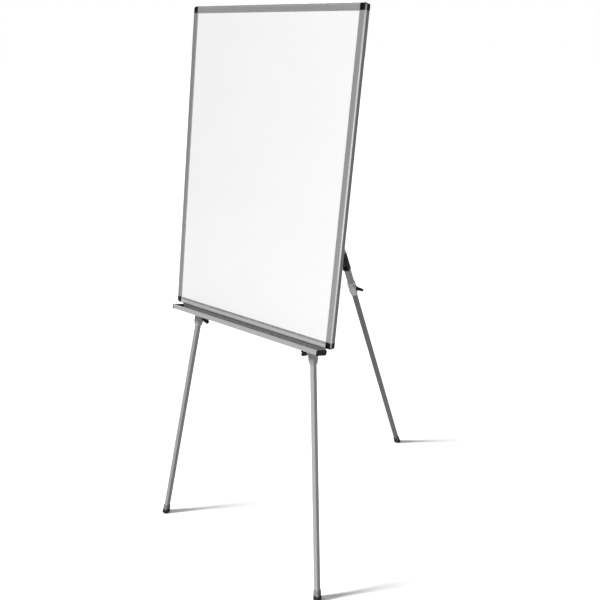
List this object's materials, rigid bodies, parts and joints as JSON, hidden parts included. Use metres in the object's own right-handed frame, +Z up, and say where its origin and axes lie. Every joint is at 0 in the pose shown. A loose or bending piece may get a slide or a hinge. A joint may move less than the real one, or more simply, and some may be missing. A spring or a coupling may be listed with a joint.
{
  "type": "tripod whiteboard easel",
  "caption": "Free-standing dry-wipe board in an aluminium frame with a pen tray, on a tripod of telescopic legs with wing-knob clamps and a folding rear leg.",
  "frame": {"origin": "on the floor, on the plane of symmetry, midway between the front and rear feet", "axes": "+X to the right of a person facing the board, -Y out of the board's front, +Z up"},
  "size_m": [0.7786, 1.0586, 1.8354],
  "materials": {
    "white_enamel": "glossy dry-wipe enamel on steel sheet",
    "panel_fibre": "fibre core board",
    "backing_foil": "dull backing foil",
    "anodised_frame": "satin anodised extrusion",
    "black_corner": "moulded, glossy",
    "black_cap": "moulded",
    "zinc_screw": "zinc plated",
    "rivet_alloy": "plain rivet",
    "leg_outer": "satin tube",
    "leg_inner": "satin tube",
    "black_plug": "moulded",
    "nylon": "natural nylon",
    "grey_collar": "moulded, satin",
    "black_knob": "moulded",
    "plated_steel": "zinc plated",
    "shoe_plastic": "moulded",
    "rubber_foot": "matt rubber",
    "black_sleeve": "moulded",
    "coated_steel": "powder coated pressing"
  },
  "bodies": {
    "board": {"backing_sheet": "backing_foil", "bottom_rail": "anodised_frame", "bracket_rivets": "rivet_alloy", "corner_bottom_left": "black_corner", "corner_bottom_right": "black_corner", "corner_screws": "zinc_screw", "corner_top_left": "black_corner", "corner_top_right": "black_corner", "front_collar_rivets": "rivet_alloy", "head_plate": "coated_steel", "head_plate_screws": "zinc_screw", "hinge_bolt": "plated_steel", "hinge_bracket": "coated_steel", "hinge_nut": "plated_steel", "hinge_washers": "nylon", "left_clamp_nut": "plated_steel", "left_collar": "grey_collar", "left_outer_tube": "leg_outer", "left_rail": "anodised_frame", "left_tube_plug": "black_plug", "panel_core": "panel_fibre", "pen_tray": "anodised_frame", "right_clamp_nut": "plated_steel", "right_collar": "grey_collar", "right_outer_tube": "leg_outer", "right_rail": "anodised_frame", "right_tube_plug": "black_plug", "strap_screws": "zinc_screw", "top_rail": "anodised_frame", "tray_cap_left": "black_cap", "tray_cap_right": "black_cap", "tray_screws": "zinc_screw", "tube_pads": "black_plug", "tube_straps": "coated_steel", "writing_sheet": "white_enamel"},
    "left_leg": {"left_inner_tube": "leg_inner", "left_guide_plug": "nylon", "left_foot": "rubber_foot"},
    "left_shoe": {"left_clamp_shoe": "shoe_plastic"},
    "left_clamp_knob": {"left_knob": "black_knob", "left_clamp_stud": "plated_steel"},
    "right_leg": {"right_inner_tube": "leg_inner", "right_guide_plug": "nylon", "right_foot": "rubber_foot"},
    "right_shoe": {"right_clamp_shoe": "shoe_plastic"},
    "right_clamp_knob": {"right_knob": "black_knob", "right_clamp_stud": "plated_steel"},
    "rear_leg": {"rear_inner_tube": "leg_inner", "rear_guide_plug": "nylon", "rear_foot": "rubber_foot"},
    "rear_shoe": {"rear_clamp_shoe": "shoe_plastic"},
    "rear_clamp_knob": {"rear_knob": "black_knob", "rear_clamp_stud": "plated_steel"},
    "rear_strut": {"rear_outer_tube": "leg_outer", "rear_tube_plug": "black_plug", "hinge_bush": "nylon", "fold_sleeve": "black_sleeve", "rear_collar_rivet": "rivet_alloy", "rear_collar": "grey_collar", "rear_clamp_nut": "plated_steel"}
  },
  "joints": [
    {"name": "left_leg_slide", "type": "slide", "parent": "board", "child": "left_leg", "axis": [0.1426, 0.1378, 0.9801], "range_m": [-0.099, 0.749]},
    {"name": "left_shoe_slide", "type": "slide", "parent": "board", "child": "left_shoe", "axis": [0.9898, -0.0199, -0.1412], "range_m": [0, 0.0015]},
    {"name": "left_knob_turn", "type": "hinge", "parent": "left_shoe", "child": "left_clamp_knob", "pos_m": [-0.23929, -0.40567, 0.7997], "axis": [0.9898, -0.0199, -0.1412], "range_deg": [0, 540]},
    {"name": "right_leg_slide", "type": "slide", "parent": "board", "child": "right_leg", "axis": [-0.1426, 0.1378, 0.9801], "range_m": [-0.099, 0.749]},
    {"name": "right_shoe_slide", "type": "slide", "parent": "board", "child": "right_shoe", "axis": [-0.9898, -0.0199, -0.1412], "range_m": [0, 0.0015]},
    {"name": "right_knob_turn", "type": "hinge", "parent": "right_shoe", "child": "right_clamp_knob", "pos_m": [0.23929, -0.40567, 0.7997], "axis": [-0.9898, -0.0199, -0.1412], "range_deg": [0, 540]},
    {"name": "rear_leg_slide", "type": "slide", "parent": "rear_strut", "child": "rear_leg", "axis": [0, -0.4067, 0.9135], "range_m": [-0.025, 0.836]},
    {"name": "rear_shoe_slide", "type": "slide", "parent": "rear_strut", "child": "rear_shoe", "axis": [1, 0, 0], "range_m": [0, 0.0015]},
    {"name": "rear_knob_turn", "type": "hinge", "parent": "rear_shoe", "child": "rear_clamp_knob", "pos_m": [0.022, 0.14852, 0.8277], "axis": [1, 0, 0], "range_deg": [0, 540]},
    {"name": "rear_leg_fold", "type": "hinge", "parent": "board", "child": "rear_strut", "pos_m": [0, -0.26473, 1.75586], "axis": [-1, 0, 0], "range_deg": [0, 32]}
  ],
  "couplings": [
    {"joint": "left_knob_turn", "follows": "left_shoe_slide", "rad_per_m": 6283.2},
    {"joint": "right_knob_turn", "follows": "right_shoe_slide", "rad_per_m": 6283.2},
    {"joint": "rear_knob_turn", "follows": "rear_shoe_slide", "rad_per_m": 6283.2}
  ]
}
